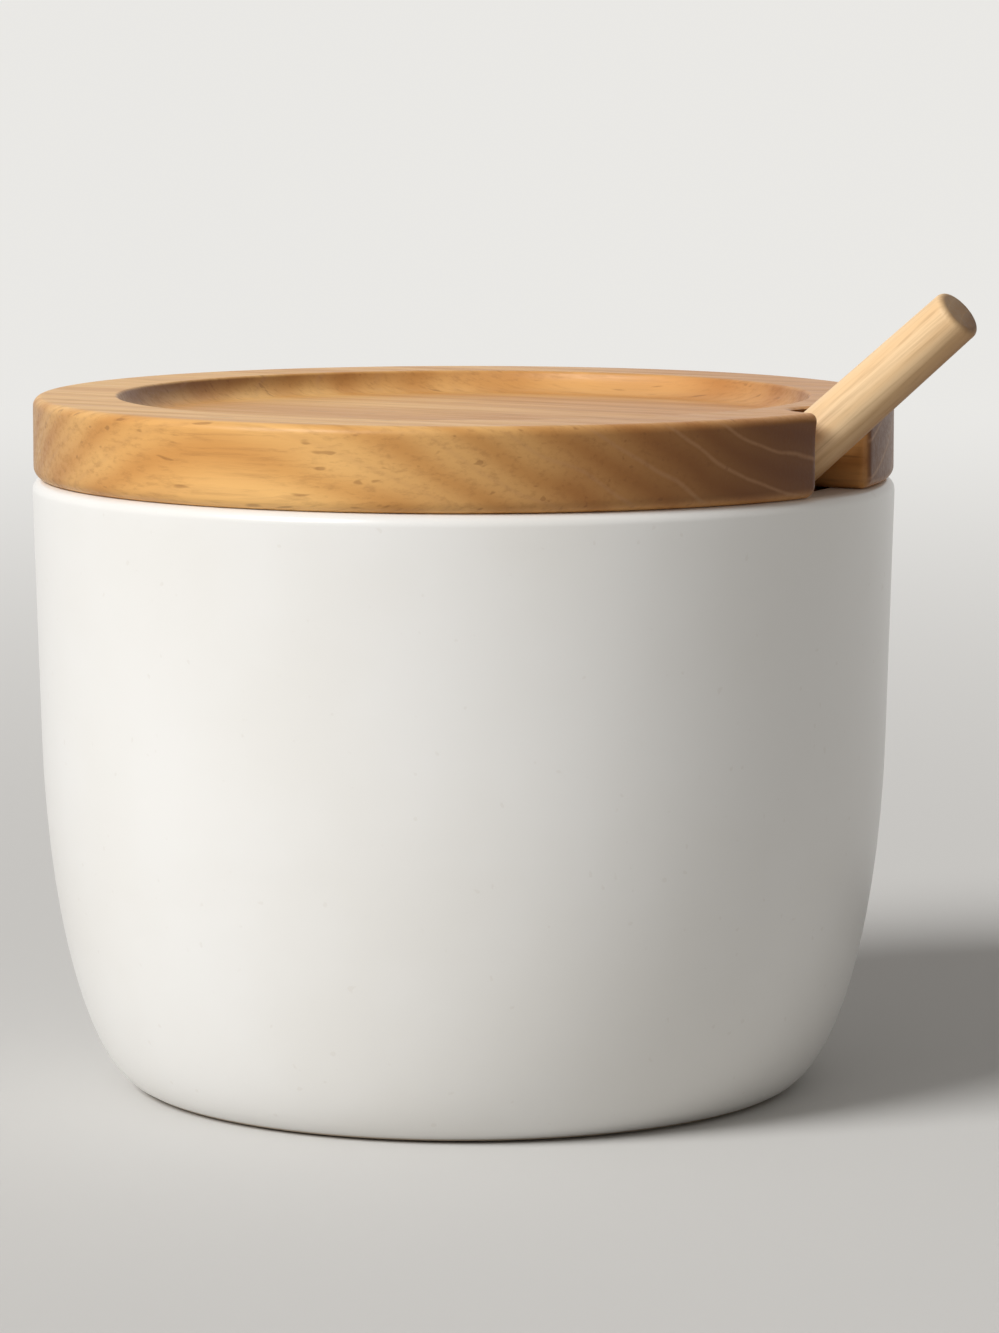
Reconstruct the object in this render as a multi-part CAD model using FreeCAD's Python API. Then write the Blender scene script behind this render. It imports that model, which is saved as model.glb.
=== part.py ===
"""Honey pot: a stoneware pot with a turned wooden lid and a grooved wooden dipper.

Lengths are in millimetres. The origin is the middle of the foot ring on the table, +Z runs up the
pot's axis, and +X points to the lid's notch, where the dipper's handle comes out. Each round piece is
an outline of radius and height that is turned about its axis.
"""
import FreeCAD
import Part

import os
from math import asin, atan, cos, pi, radians, sin, sqrt, tan

# Pot
POT_RADIUS = 55.0
POT_HEIGHT = 78.0
WALL = 7.0
WALL_DRAFT = radians(1.6)
RIM_ROUND = 1.5
HEEL_WIDTH = 13.4
HEEL_HEIGHT = 50.0
INNER_CORNER_RADIUS = 18.0
FOOT_RING_WIDTH = 6.0
FOOT_RECESS = 2.0

# Lid
LID_INSET = 0.2
LID_THICKNESS = 10.4
LID_TOP_ROUND = 1.2
LID_UNDER_ROUND = 1.6
DISH_RING_WIDTH = 10.3
DISH_DEPTH = 2.8
DISH_COVE_RADIUS = 4.0
DISH_EDGE_ROUND = 0.6
PLUG_DEPTH = 4.0
PLUG_CLEARANCE = 0.6
PLUG_ROUND = 1.0
NOTCH_WIDTH = 13.5
NOTCH_CLEARANCE = 0.8

# Dipper
DIPPER_LENGTH = 140.0
DIPPER_LEAN = radians(40.1)
HANDLE_RADIUS = 3.65
HANDLE_END_RADIUS = 3.3
HANDLE_TAPER_LENGTH = 28.0
HANDLE_END_ROUND = 0.9
HEAD_TIP_RADIUS = 9.0
HEAD_RADIUS = 11.5
HEAD_BELLY_RADIUS = 110.0
HEAD_CORE_RADIUS = 5.0
RIB_COUNT = 5
RIB_THICKNESS = 3.2
GROOVE_WIDTH = 2.4
NECK_COVE_RADIUS = 6.0

# How far a resting round piece is drawn from its seat
REST_GAP = 0.25

LID_RADIUS = POT_RADIUS - LID_INSET
LID_TOP = POT_HEIGHT + LID_THICKNESS
RIB_PITCH = GROOVE_WIDTH + RIB_THICKNESS

Y_AXIS = FreeCAD.Vector(0, 1, 0)
Z_AXIS = FreeCAD.Vector(0, 0, 1)
ORIGIN = FreeCAD.Vector(0, 0, 0)
ALONG_DIPPER = FreeCAD.Vector(cos(DIPPER_LEAN), 0, sin(DIPPER_LEAN))
ABOVE_DIPPER = FreeCAD.Vector(-sin(DIPPER_LEAN), 0, cos(DIPPER_LEAN))


def at(radius, height):
    """A point of an outline, by its distance from the axis and its height."""
    return FreeCAD.Vector(radius, 0, height)


def line(start, end):
    """A straight stretch of an outline."""
    return Part.makeLine(start, end)


def arc(centre, radius, start_angle, end_angle):
    """A round stretch of an outline, between two angles measured upwards from the outward direction."""
    angles = (start_angle, (start_angle + end_angle) / 2, end_angle)
    points = [centre + at(radius * cos(angle), radius * sin(angle)) for angle in angles]
    return Part.Arc(*points).toShape()


def path(*stretches):
    """Joins arcs and bare corner points into a list of edges, with straight lines between them."""
    edges = []
    end = None
    for stretch in stretches:
        bare = isinstance(stretch, FreeCAD.Vector)
        start = stretch if bare else stretch.firstVertex(True).Point
        if end is not None and not end.isEqual(start, Part.Precision.confusion()):
            edges.append(line(end, start))
        if not bare:
            edges.append(stretch)
        end = stretch if bare else stretch.lastVertex(True).Point
    return edges


def turned(*stretches):
    """A solid turned about the Z axis from an outline that starts and ends with points on the axis."""
    outline = path(*stretches, stretches[0])
    return Part.Face(Part.Wire(outline)).revolve(ORIGIN, Z_AXIS, 360)


def pot_wall_radius(height, inside):
    """The radius of the pot's straight wall, whose two faces lean outwards by the same draft."""
    rim_radius = POT_RADIUS - WALL if inside else POT_RADIUS
    return rim_radius - (POT_HEIGHT - height) * tan(WALL_DRAFT)


def rim_round_centre(inside):
    """The centre of the rim's rounded inner or outer edge."""
    height = POT_HEIGHT - RIM_ROUND
    side = 1 if inside else -1
    return at(pot_wall_radius(height, inside) + side * RIM_ROUND / cos(WALL_DRAFT), height)


def inner_corner_centre():
    """The centre of the arc that joins the pot's inner wall to its floor."""
    height = WALL + INNER_CORNER_RADIUS
    return at(pot_wall_radius(height, True) - INNER_CORNER_RADIUS / cos(WALL_DRAFT), height)


def heel():
    """The outside below the straight wall: an ellipse that meets the wall and the table smoothly."""
    start_angle = atan(HEEL_HEIGHT * tan(WALL_DRAFT) / HEEL_WIDTH)
    start_height = HEEL_HEIGHT * (1 - sin(start_angle))
    centre = at(pot_wall_radius(start_height, False) - HEEL_WIDTH * cos(start_angle), HEEL_HEIGHT)
    ellipse = Part.Ellipse(centre + at(0, HEEL_HEIGHT), centre + at(HEEL_WIDTH, 0), centre)
    return Part.ArcOfEllipse(ellipse, pi / 2 + start_angle, pi).toShape()


def make_pot_body():
    """The stoneware pot: floor, round inner corner, wall, rim, heel and foot ring."""
    heel_edge = heel()
    foot_inner = heel_edge.lastVertex(True).Point - at(FOOT_RING_WIDTH, 0)
    return turned(
        at(0, WALL),
        arc(inner_corner_centre(), INNER_CORNER_RADIUS, -pi / 2, -WALL_DRAFT),
        arc(rim_round_centre(True), RIM_ROUND, pi - WALL_DRAFT, pi / 2),
        arc(rim_round_centre(False), RIM_ROUND, pi / 2, -WALL_DRAFT),
        heel_edge,
        arc(foot_inner + at(0, FOOT_RECESS), FOOT_RECESS, -pi / 2, -pi),
        at(0, FOOT_RECESS),
    )


def make_lid_blank():
    """The lid as it leaves the lathe: dish, ring, rounded edge and plug."""
    dish_edge_centre = at(LID_RADIUS - DISH_RING_WIDTH, LID_TOP - DISH_EDGE_ROUND)
    cove_reach = DISH_COVE_RADIUS + DISH_EDGE_ROUND
    cove_angle = asin((DISH_DEPTH - cove_reach) / cove_reach)
    cove_centre = dish_edge_centre - at(cove_reach * cos(cove_angle), cove_reach * sin(cove_angle))
    plug_floor = POT_HEIGHT - PLUG_DEPTH
    plug_radius = pot_wall_radius(plug_floor, True) - PLUG_CLEARANCE
    return turned(
        at(0, LID_TOP - DISH_DEPTH),
        arc(cove_centre, DISH_COVE_RADIUS, -pi / 2, cove_angle),
        arc(dish_edge_centre, DISH_EDGE_ROUND, cove_angle + pi, pi / 2),
        arc(at(LID_RADIUS - LID_TOP_ROUND, LID_TOP - LID_TOP_ROUND), LID_TOP_ROUND, pi / 2, 0),
        arc(at(LID_RADIUS - LID_UNDER_ROUND, POT_HEIGHT + LID_UNDER_ROUND), LID_UNDER_ROUND, 0, -pi / 2),
        at(plug_radius, POT_HEIGHT),
        arc(at(plug_radius - PLUG_ROUND, plug_floor + PLUG_ROUND), PLUG_ROUND, 0, -pi / 2),
        at(0, plug_floor),
    )


def dipper_axis_point():
    """A point on the leaning dipper's axis, beside the rounded rim edge that its handle rests on."""
    return rim_round_centre(True) + ABOVE_DIPPER * (RIM_ROUND + REST_GAP + HANDLE_RADIUS)


def dipper_tip():
    """The end of the dipper's head, whose round tip rests on the pot's floor or in the floor's far corner."""
    beside_rim = dipper_axis_point()
    near_corner = inner_corner_centre()
    rest_height = WALL + REST_GAP + HEAD_TIP_RADIUS
    tip_centre = beside_rim - ALONG_DIPPER * ((beside_rim.z - rest_height) / ALONG_DIPPER.z)
    if tip_centre.x < -near_corner.x:
        corner = at(-near_corner.x, near_corner.z)
        foot = beside_rim - ALONG_DIPPER * (beside_rim - corner).dot(ALONG_DIPPER)
        reach = INNER_CORNER_RADIUS - HEAD_TIP_RADIUS - REST_GAP
        tip_centre = foot - ALONG_DIPPER * sqrt(reach**2 - (foot - corner).Length ** 2)
    return tip_centre - ALONG_DIPPER * HEAD_TIP_RADIUS


def leaned(shape):
    """Places a shape made up the Z axis from the origin so that it runs along the dipper from its tip."""
    turn = FreeCAD.Rotation(Z_AXIS, ALONG_DIPPER)
    shape.Placement = FreeCAD.Placement(dipper_tip(), turn)
    return shape


def make_notch_cutter():
    """The slanted slot with a half-round end that lets the handle out over the rim."""
    half = NOTCH_WIDTH / 2
    end_centre = dipper_axis_point() + ABOVE_DIPPER * (HANDLE_RADIUS + NOTCH_CLEARANCE - half)
    top = end_centre + ABOVE_DIPPER * half
    near_side = end_centre - Y_AXIS * half
    far_side = end_centre + Y_AXIS * half
    below = ABOVE_DIPPER * -LID_RADIUS
    section = [
        Part.Arc(near_side, top, far_side).toShape(),
        line(far_side, far_side + below),
        line(far_side + below, near_side + below),
        line(near_side + below, near_side),
    ]
    face = Part.Face(Part.Wire(section))
    face.translate(ALONG_DIPPER * -LID_RADIUS)
    return face.extrude(ALONG_DIPPER * (LID_RADIUS + DIPPER_LENGTH))


def make_lid():
    """The wooden lid, turned and then notched."""
    return make_lid_blank().cut(make_notch_cutter())


def head_radius(height):
    """The radius of the dipper's barrel-shaped head at a height above its tip."""
    head_length = HEAD_TIP_RADIUS + RIB_THICKNESS / 2 + RIB_COUNT * RIB_PITCH
    from_middle = height - head_length / 2
    return HEAD_RADIUS - HEAD_BELLY_RADIUS + sqrt(HEAD_BELLY_RADIUS**2 - from_middle**2)


def make_dipper():
    """The dipper, turned in one piece: round tip, ribs and grooves, neck and tapered handle."""
    rib_round = RIB_THICKNESS / 2
    stretches = [
        at(0, 0),
        arc(at(0, HEAD_TIP_RADIUS), HEAD_TIP_RADIUS, -pi / 2, 0),
        arc(at(HEAD_TIP_RADIUS - rib_round, HEAD_TIP_RADIUS), rib_round, 0, pi / 2),
    ]
    flank = HEAD_TIP_RADIUS + rib_round
    for _ in range(RIB_COUNT):
        middle = flank + GROOVE_WIDTH + rib_round
        rib_centre = at(head_radius(middle) - rib_round, middle)
        stretches += [
            at(HEAD_CORE_RADIUS, flank),
            at(HEAD_CORE_RADIUS, flank + GROOVE_WIDTH),
            arc(rib_centre, rib_round, -pi / 2, pi / 2),
        ]
        flank += RIB_PITCH
    stretches += [
        arc(at(HANDLE_RADIUS + NECK_COVE_RADIUS, flank + NECK_COVE_RADIUS), NECK_COVE_RADIUS, -pi / 2, -pi),
        at(HANDLE_RADIUS, DIPPER_LENGTH - HANDLE_TAPER_LENGTH),
        arc(
            at(HANDLE_END_RADIUS - HANDLE_END_ROUND, DIPPER_LENGTH - HANDLE_END_ROUND),
            HANDLE_END_ROUND,
            0,
            pi / 2,
        ),
        at(0, DIPPER_LENGTH),
    ]
    return leaned(turned(*stretches))


PIECES = {"pot_body": make_pot_body, "lid": make_lid, "dipper": make_dipper}

if __name__ == "__main__":
    os.makedirs("parts", exist_ok=True)
    for name, make in PIECES.items():
        make().exportStep(f"parts/{name}.step")
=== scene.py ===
"""The looks of the honey pot: a glazed stoneware pot, a notched wooden lid and a grooved dipper.

Lengths are in metres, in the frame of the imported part: the origin is the middle of the foot ring,
+Z is up and +X points to the lid's notch. Each piece is a class that holds its sizes and makes its
mesh, and each finish is a frozen class that makes its material.
"""
import logging
import math
from dataclasses import dataclass
from enum import Enum

import bpy
import numpy as np
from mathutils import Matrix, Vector


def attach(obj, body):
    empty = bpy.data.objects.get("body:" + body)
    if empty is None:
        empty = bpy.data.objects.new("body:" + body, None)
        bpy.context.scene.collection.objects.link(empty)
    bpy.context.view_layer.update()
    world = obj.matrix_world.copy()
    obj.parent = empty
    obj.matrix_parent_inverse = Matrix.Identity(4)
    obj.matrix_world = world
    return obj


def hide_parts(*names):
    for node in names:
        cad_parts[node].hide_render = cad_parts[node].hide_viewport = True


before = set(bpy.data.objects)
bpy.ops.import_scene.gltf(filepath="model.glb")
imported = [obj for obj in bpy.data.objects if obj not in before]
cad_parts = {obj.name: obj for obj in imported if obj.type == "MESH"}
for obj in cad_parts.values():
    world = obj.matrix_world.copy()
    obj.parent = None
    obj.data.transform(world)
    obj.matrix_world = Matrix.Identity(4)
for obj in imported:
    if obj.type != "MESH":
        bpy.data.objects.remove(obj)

LOG = logging.getLogger("honey_pot")
MM = 0.001
QUARTER = math.pi / 2
ACROSS = np.array([0.0, 1.0, 0.0])
UP = np.array([0.0, 0.0, 1.0])
GRAIN = "grain"

Colour = tuple[float, float, float, float]
Point = tuple[float, float]


class Slot(Enum):
    """The record's material slots."""

    GLAZE = "glaze"
    LID_WOOD = "lid_wood"
    DIPPER_WOOD = "dipper_wood"


class Body(Enum):
    """The bodies that pieces ride on."""

    POT = "pot"
    LID = "lid"
    DIPPER = "dipper"


def colour(red: float, green: float, blue: float) -> Colour:
    """Makes an opaque linear colour from its shares of red, green and blue."""
    return (red, green, blue, 1.0)


def vertex_rows(mesh: bpy.types.Mesh) -> np.ndarray:
    """Reads a mesh's vertices.

    Args:
        mesh: The mesh.

    Returns:
        Rows of x, y and z.
    """
    rows = np.zeros(len(mesh.vertices) * 3)
    mesh.vertices.foreach_get("co", rows)
    return rows.reshape(-1, 3)


class Outline:
    """A turned piece's outline, as points of radius and height."""

    ARC_STEP = math.radians(6.0)
    FEWEST_STEPS = 3
    SAME_POINT = 0.0001 * MM

    def __init__(self) -> None:
        """Starts an empty outline."""
        self.points: list[Point] = []

    def corner(self, radius: float, height: float) -> "Outline":
        """Adds one point and returns the outline itself, so that calls can be chained."""
        self.points.append((radius, height))
        return self

    def arc(self, centre: Point, radius: float, start: float, end: float,
            stretch: float = 1.0) -> "Outline":
        """Adds a round stretch between two angles.

        Args:
            centre: The arc's centre.
            radius: Its radius across the axis.
            start: First angle, measured upwards from the outward direction.
            end: Last angle.
            stretch: Its radius along the axis, as a share of the radius across it.

        Returns:
            The outline itself.
        """
        steps = max(self.FEWEST_STEPS, math.ceil(abs(end - start) / self.ARC_STEP))
        for angle in np.linspace(start, end, steps + 1):
            across = radius * math.cos(angle)
            along = radius * stretch * math.sin(angle)
            self.points.append((centre[0] + across, centre[1] + along))
        return self

    def filled(self, longest: float, fine: float, fine_from: float) -> np.ndarray:
        """Returns the points with long straight stretches divided.

        Args:
            longest: The longest stretch that is left whole.
            fine: The longest one far from the axis.
            fine_from: The radius from which stretches are fine.

        Returns:
            An array of radius and height rows.
        """
        rows = [self.points[0]]
        for start, end in zip(self.points, self.points[1:]):
            limit = fine if min(start[0], end[0]) >= fine_from else longest
            steps = max(1, math.ceil(math.dist(start, end) / limit))
            for share in np.linspace(0.0, 1.0, steps + 1)[1:]:
                rows.append(tuple(np.array(start) * (1 - share) + np.array(end) * share))
        kept = [rows[0]]
        for row in rows[1:]:
            if math.dist(row, kept[-1]) > self.SAME_POINT:
                kept.append(row)
        return np.array(kept)


@dataclass
class TurnedPiece:
    """A piece of turned shape that replaces one CAD node."""

    name: str
    node: str
    body: Body
    slot: Slot
    columns: int = 256
    longest_stretch: float = 2.0 * MM
    fine_stretch: float = 2.0 * MM
    fine_from: float = 0.0
    smooth_angle: float = math.radians(50.0)

    def column_angles(self) -> np.ndarray:
        """Gives the angles of the turned mesh's columns, rising from zero."""
        return np.linspace(0.0, 2 * math.pi, self.columns, endpoint=False)

    def outline(self) -> Outline:
        """Gives the outline from one end of the axis to the other."""
        raise NotImplementedError

    def placed(self, points: np.ndarray) -> np.ndarray:
        """Moves points from the piece's own frame, with its axis along Z, to the part's frame."""
        return points

    def grain(self, points: np.ndarray) -> np.ndarray:
        """Gives the grain coordinates of points in the piece's own frame, the grain along x."""
        return points

    def turned_mesh(self) -> bpy.types.Mesh:
        """Turns the outline about its axis.

        Returns:
            The mesh, in the piece's own frame.
        """
        rows = self.outline().filled(self.longest_stretch, self.fine_stretch, self.fine_from)
        angles = self.column_angles()
        columns = len(angles)
        rings = len(rows) - 2
        ring = np.stack([np.cos(angles), np.sin(angles)], axis=1)
        vertices = [(0.0, 0.0, rows[0][1])]
        for radius, height in rows[1:-1]:
            vertices += [(radius * x, radius * y, height) for x, y in ring]
        vertices.append((0.0, 0.0, rows[-1][1]))
        last = len(vertices) - 1
        faces: list[tuple[int, ...]] = []
        for column in range(columns):
            after = (column + 1) % columns
            faces.append((0, 1 + after, 1 + column))
            for row in range(rings - 1):
                low, high = 1 + row * columns, 1 + (row + 1) * columns
                faces.append((low + column, low + after, high + after, high + column))
            end = 1 + (rings - 1) * columns
            faces.append((end + column, end + after, last))
        mesh = bpy.data.meshes.new(self.name)
        mesh.from_pydata(vertices, [], faces)
        return mesh

    def shaped(self, obj: bpy.types.Object) -> None:
        """Cuts or changes the turned object in its own frame. Plain turned pieces need nothing."""

    def build(self, material: bpy.types.Material) -> bpy.types.Object:
        """Makes the piece, puts it in place and lets it ride its body.

        Args:
            material: The piece's finish.

        Returns:
            The finished object.
        """
        obj = bpy.data.objects.new(self.name, self.turned_mesh())
        bpy.context.scene.collection.objects.link(obj)
        self.shaped(obj)
        mesh = obj.data
        own = vertex_rows(mesh)
        attribute = mesh.attributes.new(GRAIN, "FLOAT_VECTOR", "POINT")
        attribute.data.foreach_set("vector", self.grain(own).ravel())
        mesh.vertices.foreach_set("co", self.placed(own).ravel())
        mesh.polygons.foreach_set("use_smooth", np.ones(len(mesh.polygons), bool))
        mesh.set_sharp_from_angle(angle=self.smooth_angle)
        mesh.update()
        mesh.materials.clear()
        mesh.materials.append(material)
        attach(obj, self.body.value)
        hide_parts(self.node)
        LOG.info("%s: %d faces", self.name, len(mesh.polygons))
        return obj


@dataclass
class Pot(TurnedPiece):
    """The stoneware pot."""

    name: str = "stoneware_pot"
    node: str = "pot_body"
    body: Body = Body.POT
    slot: Slot = Slot.GLAZE
    columns: int = 320
    radius: float = 55.0 * MM
    height: float = 78.0 * MM
    wall: float = 7.0 * MM
    draft: float = math.radians(1.6)
    rim_round: float = 1.5 * MM
    heel_width: float = 13.4 * MM
    heel_height: float = 50.0 * MM
    inner_corner: float = 18.0 * MM
    foot_width: float = 6.0 * MM
    foot_recess: float = 2.0 * MM

    def wall_radius(self, height: float, inside: bool) -> float:
        """Gives the straight wall's inner or outer radius at a height above the table."""
        rim = self.radius - self.wall if inside else self.radius
        return rim - (self.height - height) * math.tan(self.draft)

    def rim_centre(self, inside: bool) -> Point:
        """Gives the centre of the rim's rounded inner or outer edge.

        Args:
            inside: Whether the inner edge is meant.

        Returns:
            The centre's radius and height.
        """
        level = self.height - self.rim_round
        side = 1 if inside else -1
        reach = side * self.rim_round / math.cos(self.draft)
        return (self.wall_radius(level, inside) + reach, level)

    def corner_centre(self) -> Point:
        """Gives the radius and height of the centre of the arc between inner wall and floor."""
        level = self.wall + self.inner_corner
        return (self.wall_radius(level, True) - self.inner_corner / math.cos(self.draft), level)

    def outline(self) -> Outline:
        """Gives the outline from the floor inside, over the rim and down to the foot.

        Returns:
            The outline.
        """
        start = math.atan(self.heel_height * math.tan(self.draft) / self.heel_width)
        heel_top = self.heel_height * (1 - math.sin(start))
        heel_radius = self.wall_radius(heel_top, False) - self.heel_width * math.cos(start)
        foot = (heel_radius - self.foot_width, self.foot_recess)
        return (
            Outline()
            .corner(0.0, self.wall)
            .arc(self.corner_centre(), self.inner_corner, -QUARTER, -self.draft)
            .arc(self.rim_centre(True), self.rim_round, math.pi - self.draft, QUARTER)
            .arc(self.rim_centre(False), self.rim_round, QUARTER, -self.draft)
            .arc((heel_radius, self.heel_height), self.heel_width, -start, -QUARTER,
                 self.heel_height / self.heel_width)
            .arc(foot, self.foot_recess, -QUARTER, -math.pi)
            .corner(0.0, self.foot_recess)
        )


@dataclass
class Dipper(TurnedPiece):
    """The dipper, leaning in the pot with its tip in the far corner and its handle on the rim."""

    name: str = "wooden_dipper"
    node: str = "dipper"
    body: Body = Body.DIPPER
    slot: Slot = Slot.DIPPER_WOOD
    columns: int = 96
    length: float = 140.0 * MM
    lean: float = math.radians(40.1)
    handle_radius: float = 3.65 * MM
    end_radius: float = 3.3 * MM
    taper_length: float = 28.0 * MM
    end_round: float = 0.9 * MM
    tip_radius: float = 9.0 * MM
    head_radius: float = 11.5 * MM
    belly_radius: float = 110.0 * MM
    core_radius: float = 5.0 * MM
    rib_count: int = 5
    rib_thickness: float = 3.2 * MM
    groove_width: float = 2.4 * MM
    neck_cove: float = 6.0 * MM
    rest_gap: float = 0.25 * MM

    @property
    def along(self) -> np.ndarray:
        """The direction up the leaning dipper."""
        return np.array([math.cos(self.lean), 0.0, math.sin(self.lean)])

    @property
    def above(self) -> np.ndarray:
        """The direction square to the dipper, upwards."""
        return np.array([-math.sin(self.lean), 0.0, math.cos(self.lean)])

    def axis_point(self, pot: Pot) -> np.ndarray:
        """Gives a point on the dipper's axis beside the rim edge that its handle rests on.

        Args:
            pot: The pot that it leans in.

        Returns:
            The point.
        """
        radius, height = pot.rim_centre(True)
        clear = pot.rim_round + self.rest_gap + self.handle_radius
        return np.array([radius, 0.0, height]) + self.above * clear

    def tip(self, pot: Pot) -> np.ndarray:
        """Gives the end of the head, which rests in the far corner of the floor.

        Args:
            pot: The pot that it leans in.

        Returns:
            The point.
        """
        radius, height = pot.corner_centre()
        corner = np.array([-radius, 0.0, height])
        beside = self.axis_point(pot)
        foot = beside - self.along * float((beside - corner) @ self.along)
        reach = pot.inner_corner - self.tip_radius - self.rest_gap
        drop = math.sqrt(reach**2 - float((foot - corner) @ (foot - corner)))
        return foot - self.along * (drop + self.tip_radius)

    def barrel_radius(self, height: float) -> float:
        """Gives the barrel-shaped head's radius.

        Args:
            height: The height above the tip.

        Returns:
            The radius.
        """
        pitch = self.groove_width + self.rib_thickness
        middle = (self.tip_radius + self.rib_thickness / 2 + self.rib_count * pitch) / 2
        sag = self.belly_radius - math.sqrt(self.belly_radius**2 - (height - middle) ** 2)
        return self.head_radius - sag

    def outline(self) -> Outline:
        """Gives the outline from the tip, over the ribs and up the handle.

        Returns:
            The outline.
        """
        rib_round = self.rib_thickness / 2
        outline = Outline().corner(0.0, 0.0)
        outline.arc((0.0, self.tip_radius), self.tip_radius, -QUARTER, 0.0)
        outline.arc((self.tip_radius - rib_round, self.tip_radius), rib_round, 0.0, QUARTER)
        flank = self.tip_radius + rib_round
        for _ in range(self.rib_count):
            middle = flank + self.groove_width + rib_round
            outline.corner(self.core_radius, flank)
            outline.corner(self.core_radius, flank + self.groove_width)
            rib = (self.barrel_radius(middle) - rib_round, middle)
            outline.arc(rib, rib_round, -QUARTER, QUARTER)
            flank += self.groove_width + self.rib_thickness
        cove = (self.handle_radius + self.neck_cove, flank + self.neck_cove)
        outline.arc(cove, self.neck_cove, -QUARTER, -math.pi)
        outline.corner(self.handle_radius, self.length - self.taper_length)
        end = (self.end_radius - self.end_round, self.length - self.end_round)
        outline.arc(end, self.end_round, 0.0, QUARTER)
        return outline.corner(0.0, self.length)

    def placed(self, points: np.ndarray) -> np.ndarray:
        """Leans points made up the Z axis from the tip.

        Args:
            points: Rows of x, y and z.

        Returns:
            The leaned rows.
        """
        side = np.cross(ACROSS, self.along)
        return (
            self.tip(Pot())
            + points[:, :1] * side
            + points[:, 1:2] * ACROSS
            + points[:, 2:] * self.along
        )

    def grain(self, points: np.ndarray) -> np.ndarray:
        """Runs the grain up the stick, by putting its length first."""
        return points[:, [2, 0, 1]]


@dataclass
class Lid(TurnedPiece):
    """The wooden lid with its dish, plug and slanted notch."""

    name: str = "wooden_lid"
    node: str = "lid"
    body: Body = Body.LID
    slot: Slot = Slot.LID_WOOD
    columns: int = 260
    longest_stretch: float = 3.0 * MM
    fine_stretch: float = 0.6 * MM
    fine_from: float = 33.0 * MM
    smooth_angle: float = math.radians(30.0)
    inset: float = 0.2 * MM
    thickness: float = 10.4 * MM
    top_round: float = 1.2 * MM
    under_round: float = 1.6 * MM
    ring_width: float = 10.3 * MM
    dish_depth: float = 2.8 * MM
    cove_radius: float = 4.0 * MM
    dish_edge: float = 0.6 * MM
    plug_depth: float = 4.0 * MM
    plug_clearance: float = 0.6 * MM
    plug_round: float = 1.0 * MM
    notch_width: float = 13.5 * MM
    notch_clearance: float = 0.8 * MM
    notch_round: float = 1.1 * MM
    notch_steps: int = 48
    flank_steps: int = 50
    reach_steps: int = 60
    cell: float = 0.45 * MM
    fine_angle: float = math.radians(13.0)
    fine_columns: int = 31
    round_passes: int = 4
    round_reach: float = 2.2 * MM
    probe: float = 0.02 * MM
    least_slope: float = 1e-9 * MM

    def outline(self) -> Outline:
        """Gives the outline from the plug's floor, over the edge and into the dish.

        Returns:
            The outline.
        """
        pot = Pot()
        radius = pot.radius - self.inset
        base, top = pot.height, pot.height + self.thickness
        plug_floor = base - self.plug_depth
        plug_radius = pot.wall_radius(plug_floor, True) - self.plug_clearance
        edge = (radius - self.ring_width, top - self.dish_edge)
        reach = self.cove_radius + self.dish_edge
        angle = math.asin((self.dish_depth - reach) / reach)
        cove = (edge[0] - reach * math.cos(angle), edge[1] - reach * math.sin(angle))
        under = (radius - self.under_round, base + self.under_round)
        plug = (plug_radius - self.plug_round, plug_floor + self.plug_round)
        return (
            Outline()
            .corner(0.0, plug_floor)
            .corner(self.fine_from, plug_floor)
            .arc(plug, self.plug_round, -QUARTER, 0.0)
            .corner(plug_radius, base)
            .arc(under, self.under_round, -QUARTER, 0.0)
            .arc((radius - self.top_round, top - self.top_round), self.top_round, 0.0, QUARTER)
            .arc(edge, self.dish_edge, QUARTER, angle + math.pi)
            .arc(cove, self.cove_radius, angle, -QUARTER)
            .corner(self.fine_from, top - self.dish_depth)
            .corner(0.0, top - self.dish_depth)
        )

    def column_angles(self) -> np.ndarray:
        """Packs the columns closely beside the notch.

        Returns:
            The angles, rising from zero and less than a full turn.
        """
        near = np.linspace(0.0, self.fine_angle, self.fine_columns)
        far = np.linspace(self.fine_angle, 2 * math.pi - self.fine_angle, self.columns)
        return np.concatenate([near, far[1:], 2 * math.pi - near[-2:0:-1]])

    def notch_centre(self) -> np.ndarray:
        """Gives a point on the centre line of the notch's half-round end.

        Returns:
            The point.
        """
        dipper = Dipper()
        clear = dipper.handle_radius + self.notch_clearance - self.notch_width / 2
        return dipper.axis_point(Pot()) + dipper.above * clear

    def notch_cutter(self) -> bpy.types.Object:
        """Makes the slanted slot with a half-round end, parallel to the leaning handle.

        Returns:
            The cutter object, divided finely so that its edges can be rounded.
        """
        dipper = Dipper()
        half = self.notch_width / 2
        round_part = [
            (half * math.cos(angle), half * math.sin(angle))
            for angle in np.linspace(0.0, math.pi, self.notch_steps + 1)
        ]
        depths = np.arange(1, self.flank_steps + 1) * self.cell
        section = [(half, -depth) for depth in depths[::-1]] + round_part
        section += [(-half, -depth) for depth in depths]
        count = len(section)
        centre = self.notch_centre()
        vertices = []
        for step in range(-self.reach_steps, self.reach_steps + 1):
            middle = centre + dipper.along * step * self.cell
            vertices += [tuple(middle + ACROSS * side + dipper.above * up) for side, up in section]
        rings = 2 * self.reach_steps + 1
        faces: list[tuple[int, ...]] = [
            tuple(range(count - 1, -1, -1)),
            tuple(range((rings - 1) * count, rings * count)),
        ]
        for ring in range(rings - 1):
            low, high = ring * count, (ring + 1) * count
            for index in range(count):
                after = (index + 1) % count
                faces.append((low + index, low + after, high + after, high + index))
        mesh = bpy.data.meshes.new("notch_cutter")
        mesh.from_pydata(vertices, [], faces)
        cutter = bpy.data.objects.new("notch_cutter", mesh)
        bpy.context.scene.collection.objects.link(cutter)
        return cutter

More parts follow.
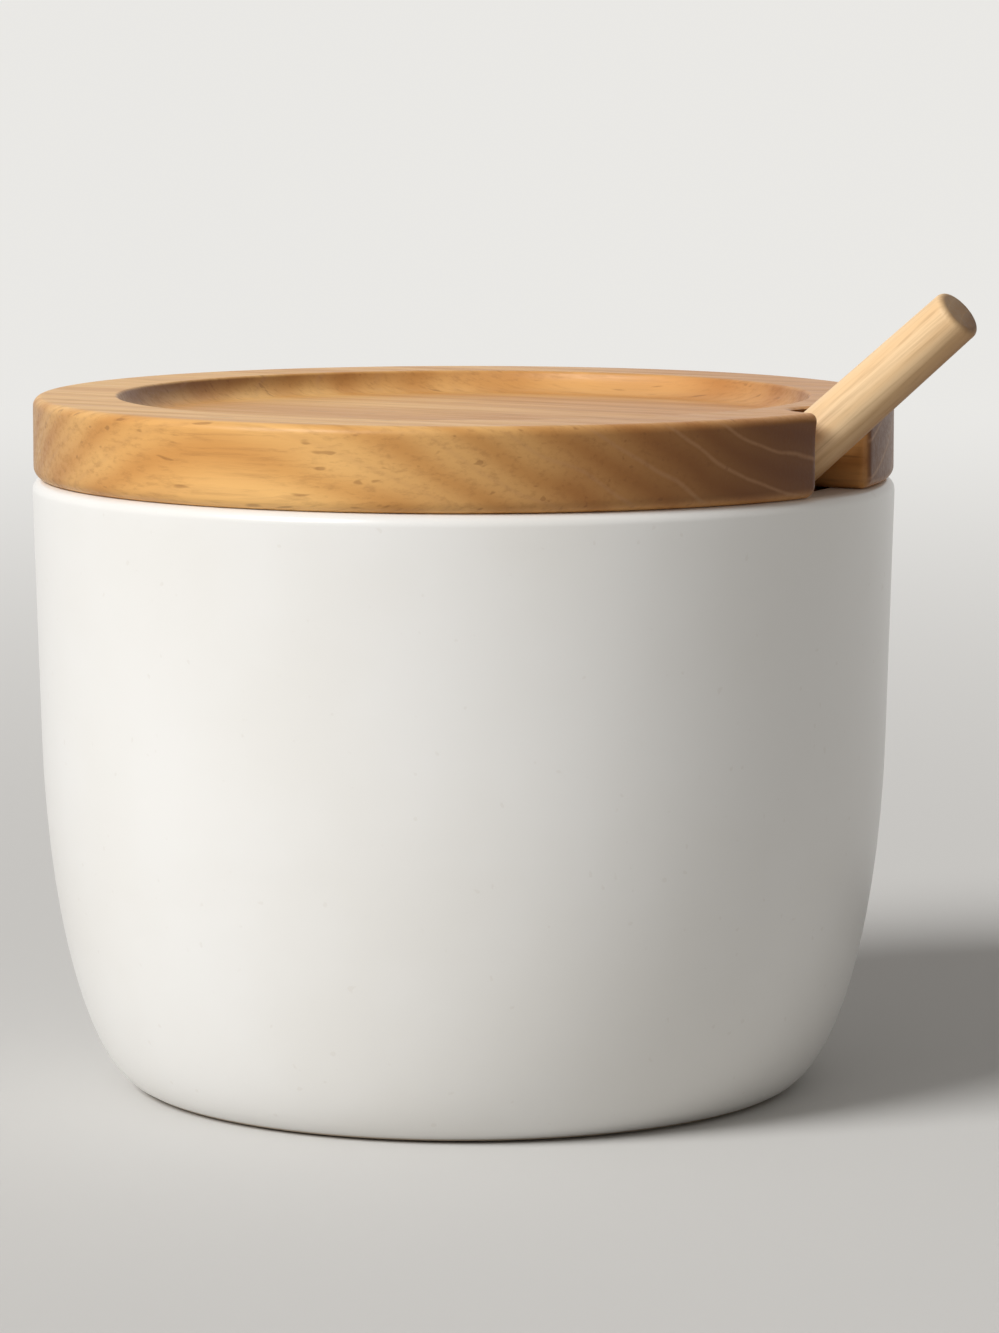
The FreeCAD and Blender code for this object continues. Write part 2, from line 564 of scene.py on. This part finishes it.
    def blank_depth(self, points: np.ndarray) -> np.ndarray:
        """Measures how far points lie outside the uncut lid, negative inside.

        Args:
            points: Rows of x, y and z.

        Returns:
            The distances.
        """
        rows = np.array(self.outline().points)
        place = np.stack([np.hypot(points[:, 0], points[:, 1]), points[:, 2]], axis=1)
        nearest = np.full(len(place), np.inf)
        inside = np.zeros(len(place), bool)
        for start, end in zip(rows, rows[1:]):
            stretch = end - start
            length = float(stretch @ stretch)
            if length == 0.0:
                continue
            offset = place - start
            share = np.clip(offset @ stretch / length, 0.0, 1.0)
            gap = offset - share[:, None] * stretch
            nearest = np.minimum(nearest, np.einsum("ij,ij->i", gap, gap))
            crosses = (start[1] > place[:, 1]) != (end[1] > place[:, 1])
            if stretch[1] != 0.0:
                reach = start[0] + offset[:, 1] / stretch[1] * stretch[0]
                inside ^= crosses & (place[:, 0] < reach)
        distance = np.sqrt(nearest)
        return np.where(inside, -distance, distance)

    def slot_depth(self, points: np.ndarray) -> np.ndarray:
        """Measures how far points lie inside the notch, negative in the wood.

        Args:
            points: Rows of x, y and z.

        Returns:
            The distances.
        """
        up = (points - self.notch_centre()) @ Dipper().above
        side = np.abs(points[:, 1])
        return self.notch_width / 2 - np.where(up > 0.0, np.hypot(side, up), side)

    def rounded_depth(self, points: np.ndarray) -> np.ndarray:
        """Measures how far points lie outside the lid with its notch's edges rounded.

        Args:
            points: Rows of x, y and z.

        Returns:
            The distances.
        """
        outside = self.blank_depth(points) + self.notch_round
        cut = self.slot_depth(points) + self.notch_round
        corner = np.hypot(np.maximum(outside, 0.0), np.maximum(cut, 0.0))
        return corner + np.minimum(np.maximum(outside, cut), 0.0) - self.notch_round

    def slope(self, points: np.ndarray) -> np.ndarray:
        """Gives the outward direction of the rounded lid at points.

        Args:
            points: Rows of x, y and z.

        Returns:
            Rows of unit vectors.
        """
        parts = []
        for axis in np.eye(3):
            ahead, behind = points + axis * self.probe, points - axis * self.probe
            parts.append(self.rounded_depth(ahead) - self.rounded_depth(behind))
        slope = np.stack(parts, axis=1)
        length = np.linalg.norm(slope, axis=1, keepdims=True)
        return slope / np.maximum(length, self.least_slope)

    def cut_notch(self, obj: bpy.types.Object) -> None:
        """Cuts the notch with sharp edges.

        Args:
            obj: The turned lid.
        """
        cutter = self.notch_cutter()
        cut = obj.modifiers.new("notch", "BOOLEAN")
        cut.operation = "DIFFERENCE"
        cut.solver = "EXACT"
        cut.object = cutter
        bpy.context.view_layer.update()
        evaluated = obj.evaluated_get(bpy.context.evaluated_depsgraph_get())
        mesh = bpy.data.meshes.new_from_object(evaluated)
        obj.modifiers.clear()
        obj.data = mesh
        bpy.data.objects.remove(cutter)

    def round_notch(self, mesh: bpy.types.Mesh) -> None:
        """Moves the vertices beside the notch onto its rounded edges.

        Args:
            mesh: The cut lid's mesh.
        """
        points = vertex_rows(mesh)
        near = self.slot_depth(points) > -self.round_reach
        moved = points[near]
        for _ in range(self.round_passes):
            moved = moved - self.slope(moved) * self.rounded_depth(moved)[:, None]
        points[near] = moved
        mesh.vertices.foreach_set("co", points.ravel())
        mesh.update()

    def shaped(self, obj: bpy.types.Object) -> None:
        """Cuts the notch and rounds its edges."""
        self.cut_notch(obj)
        self.round_notch(obj.data)


class Nodes:
    """A thin helper over one node tree. The constants are a mix node's colour sockets."""

    MIX_FIRST = 6
    MIX_SECOND = 7
    MIX_RESULT = 2

    def __init__(self, tree: bpy.types.NodeTree) -> None:
        """Keeps the node tree to fill."""
        self.tree = tree

    def add(self, kind: str, **settings: object) -> bpy.types.Node:
        """Adds a node.

        Args:
            kind: The node's type name.
            **settings: Attributes to set on it.

        Returns:
            The node.
        """
        node = self.tree.nodes.new(kind)
        for name, value in settings.items():
            setattr(node, name, value)
        return node

    def put(self, target: bpy.types.NodeSocket, value: object) -> None:
        """Links a socket, or sets its plain value.

        Args:
            target: The input socket.
            value: An output socket or a value.
        """
        if isinstance(value, bpy.types.NodeSocket):
            self.tree.links.new(value, target)
        else:
            target.default_value = value

    def math(self, operation: str, *values: object) -> bpy.types.NodeSocket:
        """Adds a math node.

        Args:
            operation: The operation's name.
            *values: Its inputs.

        Returns:
            The result.
        """
        node = self.add("ShaderNodeMath", operation=operation)
        for socket, value in zip(node.inputs, values):
            self.put(socket, value)
        return node.outputs[0]

    def vector(self, operation: str, *values: object) -> bpy.types.Node:
        """Adds a vector math node.

        Args:
            operation: The operation's name.
            *values: Its inputs.

        Returns:
            The node, with its result in Vector or Value.
        """
        node = self.add("ShaderNodeVectorMath", operation=operation)
        for socket, value in zip(node.inputs, values):
            self.put(socket, value)
        return node

    def noise(self, vector: bpy.types.NodeSocket, scale: float, detail: float = 3.0,
              roughness: float = 0.55) -> bpy.types.NodeSocket:
        """Adds a noise texture.

        Args:
            vector: Where it is read.
            scale: How fine it is.
            detail: How many finer layers it has.
            roughness: How strong those layers are.

        Returns:
            The noise value.
        """
        node = self.add("ShaderNodeTexNoise")
        self.put(node.inputs["Vector"], vector)
        node.inputs["Scale"].default_value = scale
        node.inputs["Detail"].default_value = detail
        node.inputs["Roughness"].default_value = roughness
        return node.outputs["Fac"]

    def ramp(self, value: bpy.types.NodeSocket, low: float, high: float, start: float = 0.0,
             end: float = 1.0) -> bpy.types.NodeSocket:
        """Maps a value smoothly from one range to another.

        Args:
            value: The value.
            low: Where the result starts to change.
            high: Where it stops.
            start: The result at low.
            end: The result at high.

        Returns:
            The mapped value.
        """
        node = self.add("ShaderNodeMapRange", interpolation_type="SMOOTHSTEP")
        self.put(node.inputs["Value"], value)
        node.inputs["From Min"].default_value = low
        node.inputs["From Max"].default_value = high
        node.inputs["To Min"].default_value = start
        node.inputs["To Max"].default_value = end
        return node.outputs["Result"]

    def mix(self, factor: object, first: object, second: object,
            blend: str = "MIX") -> bpy.types.NodeSocket:
        """Mixes two colours.

        Args:
            factor: The share of the second.
            first: The first colour.
            second: The second colour.
            blend: How they are mixed.

        Returns:
            The mixed colour.
        """
        node = self.add("ShaderNodeMix", data_type="RGBA", blend_type=blend)
        self.put(node.inputs[0], factor)
        self.put(node.inputs[self.MIX_FIRST], first)
        self.put(node.inputs[self.MIX_SECOND], second)
        return node.outputs[self.MIX_RESULT]

    def mix_shaders(self, factor: object, first: bpy.types.Node,
                    second: bpy.types.Node) -> bpy.types.NodeSocket:
        """Mixes two shaders.

        Args:
            factor: The share of the second.
            first: The first shader node.
            second: The second shader node.

        Returns:
            The mixed shader.
        """
        node = self.add("ShaderNodeMixShader")
        self.put(node.inputs[0], factor)
        self.put(node.inputs[1], first.outputs[0])
        self.put(node.inputs[2], second.outputs[0])
        return node.outputs[0]

    def bump(self, height: bpy.types.NodeSocket, strength: float,
             distance: float) -> bpy.types.NodeSocket:
        """Adds a bump node.

        Args:
            height: The height over the surface.
            strength: How strongly it shows.
            distance: How deep a height of one is.

        Returns:
            The bent normal.
        """
        node = self.add("ShaderNodeBump")
        node.inputs["Strength"].default_value = strength
        node.inputs["Distance"].default_value = distance
        self.put(node.inputs["Height"], height)
        return node.outputs["Normal"]


def new_group(name: str, inputs: dict[str, str], outputs: dict[str, str]) -> bpy.types.NodeTree:
    """Makes an empty shader group with its sockets.

    Args:
        name: The group's name.
        inputs: Socket names and types going in.
        outputs: Socket names and types coming out.

    Returns:
        The group.
    """
    tree = bpy.data.node_groups.new(name, "ShaderNodeTree")
    for direction, sockets in (("INPUT", inputs), ("OUTPUT", outputs)):
        for label, kind in sockets.items():
            tree.interface.new_socket(label, in_out=direction, socket_type=kind)
    return tree


def new_material(name: str) -> tuple[bpy.types.Material, Nodes, bpy.types.Node]:
    """Makes a material with its one surface shader.

    Args:
        name: The material's name.

    Returns:
        The material, its nodes and its surface shader.
    """
    material = bpy.data.materials.new(name)
    material.use_nodes = True
    return material, Nodes(material.node_tree), material.node_tree.nodes["Principled BSDF"]


@dataclass(frozen=True)
class WoodFigure:
    """The figure that both woods share. A small stretch draws a pattern out along the grain."""

    name: str = "wood_figure"
    cloud_stretch: float = 0.35
    cloud_scale: float = 55.0
    cloud_detail: float = 2.0
    cloud_bend: float = 0.9
    waver_stretch: float = 0.15
    waver_scale: float = 160.0
    waver_bend: float = 0.10
    half_ring: float = 0.5
    line_width: float = 0.09
    band_start: float = 0.1
    fibre_stretch: float = 0.04
    fibre_scale: float = 1500.0
    fibre_detail: float = 4.0
    fibre_roughness: float = 0.65
    pore_stretch: float = 0.12
    pore_scale: float = 1100.0
    pore_detail: float = 1.0
    pore_low: float = 0.67
    pore_high: float = 0.76

    def drawn_out(self, nodes: Nodes, grain: bpy.types.NodeSocket,
                  stretch: float) -> bpy.types.NodeSocket:
        """Gives the grain coordinates with their length along the fibres scaled by a stretch."""
        return nodes.vector("MULTIPLY", grain, (stretch, 1.0, 1.0)).outputs["Vector"]

    def ring_wave(self, nodes: Nodes, source: bpy.types.Node,
                  clouds: bpy.types.NodeSocket) -> bpy.types.NodeSocket:
        """Makes the wavering growth rings round a pith line along x.

        Args:
            nodes: The group's nodes.
            source: The group's inputs.
            clouds: The slow unevenness that bends the rings.

        Returns:
            A wave that is 0 on each ring line and half a ring between two.
        """
        grain = source.outputs["Grain"]
        offset = nodes.vector("SUBTRACT", grain, source.outputs["Pith"]).outputs["Vector"]
        flat = self.drawn_out(nodes, offset, 0.0)
        distance = nodes.vector("LENGTH", flat).outputs["Value"]
        turns = nodes.math("DIVIDE", distance, source.outputs["Ring Width"])
        waver = nodes.noise(self.drawn_out(nodes, grain, self.waver_stretch), self.waver_scale)
        bent = nodes.math("ADD", turns, nodes.math("MULTIPLY", clouds, self.cloud_bend))
        bent = nodes.math("ADD", bent, nodes.math("MULTIPLY", waver, self.waver_bend))
        return nodes.math("PINGPONG", bent, self.half_ring)

    def build(self) -> bpy.types.NodeTree:
        """Makes the group of ring lines, broad bands, fibres, pores and clouds.

        Returns:
            The group.
        """
        inputs = {
            "Grain": "NodeSocketVector",
            "Pith": "NodeSocketVector",
            "Ring Width": "NodeSocketFloat",
        }
        labels = ("Rings", "Bands", "Fibres", "Pores", "Clouds")
        tree = new_group(self.name, inputs, {label: "NodeSocketFloat" for label in labels})
        nodes = Nodes(tree)
        source = nodes.add("NodeGroupInput")
        result = nodes.add("NodeGroupOutput")
        grain = source.outputs["Grain"]
        slow = self.drawn_out(nodes, grain, self.cloud_stretch)
        clouds = nodes.noise(slow, self.cloud_scale, self.cloud_detail)
        wave = self.ring_wave(nodes, source, clouds)
        long = self.drawn_out(nodes, grain, self.fibre_stretch)
        fibres = nodes.noise(long, self.fibre_scale, self.fibre_detail, self.fibre_roughness)
        short = self.drawn_out(nodes, grain, self.pore_stretch)
        pores = nodes.noise(short, self.pore_scale, self.pore_detail)
        nodes.put(result.inputs["Rings"], nodes.ramp(wave, 0.0, self.line_width, 1.0, 0.0))
        nodes.put(result.inputs["Bands"], nodes.ramp(wave, self.band_start, self.half_ring))
        nodes.put(result.inputs["Fibres"], fibres)
        nodes.put(result.inputs["Pores"], nodes.ramp(pores, self.pore_low, self.pore_high))
        nodes.put(result.inputs["Clouds"], clouds)
        return tree


@dataclass(frozen=True)
class GlazeMottle:
    """The glaze's unevenness."""

    name: str = "glaze_mottle"
    cloud_scale: float = 28.0
    wave_scale: float = 75.0
    wave_detail: float = 1.0
    speck_scale: float = 900.0
    speck_detail: float = 0.0
    speck_low: float = 0.80
    speck_high: float = 0.86

    def build(self) -> bpy.types.NodeTree:
        """Makes the group of slow clouds, fine waves and rare specks.

        Returns:
            The group.
        """
        labels = ("Clouds", "Waves", "Specks")
        outputs = {label: "NodeSocketFloat" for label in labels}
        tree = new_group(self.name, {"Place": "NodeSocketVector"}, outputs)
        nodes = Nodes(tree)
        place = nodes.add("NodeGroupInput").outputs["Place"]
        result = nodes.add("NodeGroupOutput")
        specks = nodes.noise(place, self.speck_scale, self.speck_detail)
        nodes.put(result.inputs["Clouds"], nodes.noise(place, self.cloud_scale))
        nodes.put(result.inputs["Waves"], nodes.noise(place, self.wave_scale, self.wave_detail))
        nodes.put(result.inputs["Specks"], nodes.ramp(specks, self.speck_low, self.speck_high))
        return tree


@dataclass(frozen=True)
class Glaze:
    """A satin white glaze over stoneware, bare on the foot."""

    name: str = "satin_glaze"
    body_colour: Colour = colour(0.80, 0.79, 0.765)
    cloud_colour: Colour = colour(0.775, 0.76, 0.725)
    speck_colour: Colour = colour(0.45, 0.37, 0.28)
    clay_colour: Colour = colour(0.50, 0.40, 0.29)
    speck_strength: float = 0.10
    roughness: float = 0.28
    clay_roughness: float = 0.85
    cloud_low: float = 0.35
    cloud_high: float = 0.7
    bare_below: float = 0.28 * MM
    glazed_above: float = 0.7 * MM
    wave_strength: float = 0.05
    wave_depth: float = 1.0 * MM

    def build(self, mottle: bpy.types.NodeTree) -> bpy.types.Material:
        """Makes the material.

        Args:
            mottle: The glaze's unevenness.

        Returns:
            The material.
        """
        material, nodes, shader = new_material(self.name)
        place = nodes.add("ShaderNodeAttribute", attribute_name=GRAIN).outputs["Vector"]
        effect = nodes.add("ShaderNodeGroup", node_tree=mottle)
        nodes.put(effect.inputs["Place"], place)
        clouds = nodes.ramp(effect.outputs["Clouds"], self.cloud_low, self.cloud_high)
        base = nodes.mix(clouds, self.body_colour, self.cloud_colour)
        specks = nodes.math("MULTIPLY", effect.outputs["Specks"], self.speck_strength)
        base = nodes.mix(specks, base, self.speck_colour)
        height = nodes.add("ShaderNodeSeparateXYZ")
        nodes.put(height.inputs[0], place)
        bare = nodes.ramp(height.outputs["Z"], self.bare_below, self.glazed_above, 1.0, 0.0)
        nodes.put(shader.inputs["Base Color"], nodes.mix(bare, base, self.clay_colour))
        rough = nodes.ramp(bare, 0.0, 1.0, self.roughness, self.clay_roughness)
        nodes.put(shader.inputs["Roughness"], rough)
        normal = nodes.bump(effect.outputs["Waves"], self.wave_strength, self.wave_depth)
        nodes.put(shader.inputs["Normal"], normal)
        return material


@dataclass(frozen=True)
class Wood:
    """An oiled wood whose tone runs across the board from a light side to a dark side, partly
    sapwood to heartwood and partly painted shade on the side turned away from the key light.
    """

    name: str
    sap: Colour
    deep_sap: Colour
    # The dark side's colour: heartwood tone with painted shade mixed in.
    heart_and_shade: Colour
    band: Colour
    ring: Colour
    dark: Colour
    end_grain: Colour
    grain_axis: tuple[float, float, float]
    pith: tuple[float, float, float]
    ring_width: float
    band_strength: float
    end_ring_strength: float
    side_ring_strength: float
    fibre_strength: float
    pore_strength: float
    end_power: float
    roughness: float
    # The direction in which the tone darkens, towards the side that gets painted shade.
    heart_and_shade_direction: tuple[float, float, float]
    tone_low: float
    tone_high: float
    tone_drift: float
    specular: float = 0.22
    cloud_middle: float = 0.5
    patch_low: float = 0.42
    patch_high: float = 0.68
    end_low: float = 0.2
    end_high: float = 0.9
    fibre_low: float = 0.45
    fibre_high: float = 0.75
    smoother: float = 0.05
    rougher: float = 0.07
    smooth_fibre: float = 0.3
    rough_fibre: float = 0.7
    fibre_bump: float = 0.12
    fibre_depth: float = 0.3 * MM

    def tone(self, nodes: Nodes, grain: bpy.types.NodeSocket,
             clouds: bpy.types.NodeSocket) -> bpy.types.NodeSocket:
        """Gives the share of the dark tone, which is partly heartwood and partly painted shade.

        Args:
            nodes: The material's nodes.
            grain: The grain coordinates.
            clouds: Slow unevenness.

        Returns:
            The share, 0 on the light sapwood side and 1 on the dark side of heartwood and painted
            shade.
        """
        across = nodes.vector("DOT_PRODUCT", grain, self.heart_and_shade_direction).outputs["Value"]
        uneven = nodes.math("SUBTRACT", clouds, self.cloud_middle)
        tone = nodes.math("ADD", across, nodes.math("MULTIPLY", uneven, self.tone_drift))
        return nodes.ramp(tone, self.tone_low, self.tone_high)

    def end_share(self, nodes: Nodes) -> bpy.types.NodeSocket:
        """Gives how squarely the fibres meet the surface.

        Args:
            nodes: The material's nodes.

        Returns:
            The share, 1 on end grain.
        """
        normal = nodes.add("ShaderNodeTexCoord").outputs["Normal"]
        facing = nodes.vector("DOT_PRODUCT", normal, self.grain_axis).outputs["Value"]
        return nodes.math("POWER", nodes.math("ABSOLUTE", facing), self.end_power)

    def build(self, figure: bpy.types.NodeTree) -> bpy.types.Material:
        """Makes the material.

        Args:
            figure: The shared wood figure.

        Returns:
            The material.
        """
        material, nodes, shader = new_material(self.name)
        grain = nodes.add("ShaderNodeAttribute", attribute_name=GRAIN).outputs["Vector"]
        effect = nodes.add("ShaderNodeGroup", node_tree=figure)
        nodes.put(effect.inputs["Grain"], grain)
        effect.inputs["Pith"].default_value = self.pith
        effect.inputs["Ring Width"].default_value = self.ring_width
        clouds = effect.outputs["Clouds"]
        heart_and_shade_share = self.tone(nodes, grain, clouds)
        patches = nodes.ramp(clouds, self.patch_low, self.patch_high)
        base = nodes.mix(patches, self.sap, self.deep_sap)
        # Darker towards one side: heartwood tone and painted shade on the side turned away from the
        # key light.
        base = nodes.mix(heart_and_shade_share, base, self.heart_and_shade)
        bands = nodes.math("MULTIPLY", effect.outputs["Bands"], self.band_strength)
        base = nodes.mix(bands, base, self.band, "MULTIPLY")
        end_share = self.end_share(nodes)
        base = nodes.mix(end_share, base, self.end_grain, "MULTIPLY")
        ring_level = nodes.ramp(end_share, self.end_low, self.end_high,
                                self.side_ring_strength, self.end_ring_strength)
        rings = nodes.math("MULTIPLY", effect.outputs["Rings"], ring_level)
        base = nodes.mix(rings, base, self.ring)
        fibres = nodes.ramp(effect.outputs["Fibres"], self.fibre_low, self.fibre_high)
        base = nodes.mix(nodes.math("MULTIPLY", fibres, self.fibre_strength), base, self.dark)
        pores = nodes.math("MULTIPLY", effect.outputs["Pores"], self.pore_strength)
        base = nodes.mix(pores, base, self.dark)
        nodes.put(shader.inputs["Base Color"], base)
        shader.inputs["Specular IOR Level"].default_value = self.specular
        rough = nodes.ramp(effect.outputs["Fibres"], self.smooth_fibre, self.rough_fibre,
                           self.roughness - self.smoother, self.roughness + self.rougher)
        nodes.put(shader.inputs["Roughness"], rough)
        normal = nodes.bump(effect.outputs["Fibres"], self.fibre_bump, self.fibre_depth)
        nodes.put(shader.inputs["Normal"], normal)
        return material


LID_WOOD = Wood(
    name="lid_acacia",
    sap=colour(0.84, 0.49, 0.175),
    deep_sap=colour(0.72, 0.38, 0.12),
    # The colour of the lid's right side as the camera sees it: heartwood tone with painted shade.
    heart_and_shade=colour(0.58, 0.285, 0.095),
    band=colour(0.76, 0.62, 0.46),
    ring=colour(0.36, 0.19, 0.09),
    dark=colour(0.16, 0.06, 0.018),
    end_grain=colour(0.22, 0.15, 0.09),
    grain_axis=(1.0, 0.0, 0.0),
    pith=(0.0, -3.0 * MM, 122.0 * MM),
    ring_width=4.6 * MM,
    band_strength=0.6,
    end_ring_strength=0.5,
    side_ring_strength=0.10,
    fibre_strength=0.26,
    pore_strength=0.40,
    end_power=1.9,
    roughness=0.38,
    # Points to the camera's right, so the lid is painted darker towards its shaded right side.
    heart_and_shade_direction=(0.857, 0.515, 0.0),
    tone_low=-30.0 * MM,
    tone_high=40.0 * MM,
    tone_drift=40.0 * MM,
)

DIPPER_WOOD = Wood(
    name="dipper_beech",
    sap=colour(0.84, 0.61, 0.36),
    deep_sap=colour(0.77, 0.52, 0.28),
    # The colour of the handle's lower right side: a brown streak in the wood with painted shade.
    heart_and_shade=colour(0.34, 0.17, 0.065),
    band=colour(0.84, 0.74, 0.62),
    ring=colour(0.42, 0.25, 0.12),
    dark=colour(0.34, 0.18, 0.075),
    end_grain=colour(0.40, 0.36, 0.34),
    grain_axis=(math.cos(Dipper.lean), 0.0, math.sin(Dipper.lean)),
    pith=(0.0, 14.0 * MM, 5.0 * MM),
    ring_width=2.2 * MM,
    band_strength=0.4,
    end_ring_strength=0.3,
    side_ring_strength=0.2,
    fibre_strength=0.34,
    pore_strength=0.2,
    end_power=3.0,
    roughness=0.50,
    # Points to the handle's lower, far side, turned away from the key light, where the wood is
    # painted darker.
    heart_and_shade_direction=(0.0, 0.8, 0.6),
    tone_low=-2.0 * MM,
    tone_high=4.0 * MM,
    tone_drift=5.0 * MM,
)


@dataclass
class Studio:
    """The floor, soft light and camera. The sensor is in millimetres, as Blender has it."""

    camera_angle: float = math.radians(-59.0)
    camera_distance: float = 680.0 * MM
    camera_height: float = 136.8 * MM
    pitch: float = math.radians(7.0)
    yaw: float = math.radians(0.385)
    focal_px: float = 5334.0
    image_height_px: float = 1333.0
    sensor_size: float = 36.0
    floor_size: float = 80.0
    floor_drop: float = 0.03 * MM
    floor_colour: Colour = colour(0.62, 0.61, 0.59)
    floor_roughness: float = 0.8
    fade_start: float = 0.1
    fade_end: float = 1.2
    fill_colour: Colour = colour(1.0, 0.965, 0.93)
    fill_strength: float = 0.26
    wall_colour: Colour = colour(0.82, 0.81, 0.785)
    key_strength: float = 3.05
    key_angle: float = math.radians(26.0)
    key_turn: float = math.radians(-52.0)
    key_height: float = math.radians(38.0)

    @property
    def toward_camera(self) -> np.ndarray:
        """The level direction from the pot to the camera."""
        return np.array([math.cos(self.camera_angle), math.sin(self.camera_angle), 0.0])

    @property
    def rightward(self) -> np.ndarray:
        """The level direction to the camera's right."""
        return np.array([-math.sin(self.camera_angle), math.cos(self.camera_angle), 0.0])

    def seen(self, nodes: Nodes) -> bpy.types.NodeSocket:
        """Tells the rays that show the backdrop from those that light the object.

        Args:
            nodes: The nodes of the floor or the world.

        Returns:
            1 for camera, glossy and transmission rays, else 0.
        """
        path = nodes.add("ShaderNodeLightPath")
        seen = nodes.math("MAXIMUM", path.outputs["Is Camera Ray"], path.outputs["Is Glossy Ray"])
        return nodes.math("MAXIMUM", seen, path.outputs["Is Transmission Ray"])

    def build_floor(self) -> None:
        """Makes the plain pale floor."""
        half = self.floor_size / 2
        mesh = bpy.data.meshes.new("floor")
        corners = [(-half, -half, 0.0), (half, -half, 0.0), (half, half, 0.0), (-half, half, 0.0)]
        mesh.from_pydata(corners, [], [(0, 1, 2, 3)])
        floor = bpy.data.objects.new("floor", mesh)
        floor.location.z = -self.floor_drop
        bpy.context.scene.collection.objects.link(floor)
        material, nodes, shader = new_material("pale_floor")
        shader.inputs["Base Color"].default_value = self.floor_colour
        shader.inputs["Roughness"].default_value = self.floor_roughness
        place = nodes.add("ShaderNodeTexCoord").outputs["Object"]
        distance = nodes.vector("LENGTH", place).outputs["Value"]
        far = nodes.ramp(distance, self.fade_start, self.fade_end)
        wall = nodes.add("ShaderNodeEmission")
        wall.inputs["Color"].default_value = self.wall_colour
        mixed = nodes.mix_shaders(nodes.math("MULTIPLY", far, self.seen(nodes)), shader, wall)
        nodes.put(material.node_tree.nodes["Material Output"].inputs["Surface"], mixed)
        mesh.materials.append(material)

    def build_world(self) -> None:
        """Makes the even fill, and the pale backdrop that the camera and reflections see."""
        world = bpy.data.worlds.new("studio")
        world.use_nodes = True
        nodes = Nodes(world.node_tree)
        fill = world.node_tree.nodes["Background"]
        fill.inputs["Color"].default_value = self.fill_colour
        fill.inputs["Strength"].default_value = self.fill_strength
        wall = nodes.add("ShaderNodeBackground")
        wall.inputs["Color"].default_value = self.wall_colour
        mixed = nodes.mix_shaders(self.seen(nodes), fill, wall)
        nodes.put(world.node_tree.nodes["World Output"].inputs["Surface"], mixed)
        bpy.context.scene.world = world

    def build_light(self) -> None:
        """Makes one broad soft key from the camera's left."""
        light = bpy.data.lights.new("key", "SUN")
        light.energy = self.key_strength
        light.angle = self.key_angle
        key = bpy.data.objects.new("key", light)
        level = self.toward_camera * math.cos(self.key_turn)
        level += self.rightward * math.sin(self.key_turn)
        source = level * math.cos(self.key_height) + UP * math.sin(self.key_height)
        key.location = source
        key.rotation_mode = "QUATERNION"
        key.rotation_quaternion = Vector(-source).to_track_quat("-Z", "Y")
        bpy.context.scene.collection.objects.link(key)

    def build_camera(self) -> None:
        """Puts the camera where the photograph was taken from."""
        data = bpy.data.cameras.new("camera")
        data.sensor_fit = "AUTO"
        data.sensor_width = self.sensor_size
        data.lens = self.sensor_size * self.focal_px / self.image_height_px
        camera = bpy.data.objects.new("camera", data)
        camera.location = self.toward_camera * self.camera_distance + UP * self.camera_height
        level = -self.toward_camera * math.cos(self.yaw) + self.rightward * math.sin(self.yaw)
        gaze = level * math.cos(self.pitch) - UP * math.sin(self.pitch)
        camera.rotation_mode = "QUATERNION"
        camera.rotation_quaternion = Vector(gaze).to_track_quat("-Z", "Y")
        bpy.context.scene.collection.objects.link(camera)
        bpy.context.scene.camera = camera
        bpy.context.scene.view_settings.view_transform = "Standard"

    def build(self) -> None:
        """Makes the whole studio."""
        self.build_floor()
        self.build_world()
        self.build_light()
        self.build_camera()


def main() -> None:
    """Builds the pieces, the finishes and the studio in order."""
    logging.basicConfig(level=logging.INFO)
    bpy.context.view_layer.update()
    figure = WoodFigure().build()
    Pot().build(Glaze().build(GlazeMottle().build()))
    Lid().build(LID_WOOD.build(figure))
    Dipper().build(DIPPER_WOOD.build(figure))
    Studio().build()


if __name__ == "__main__":
    main()
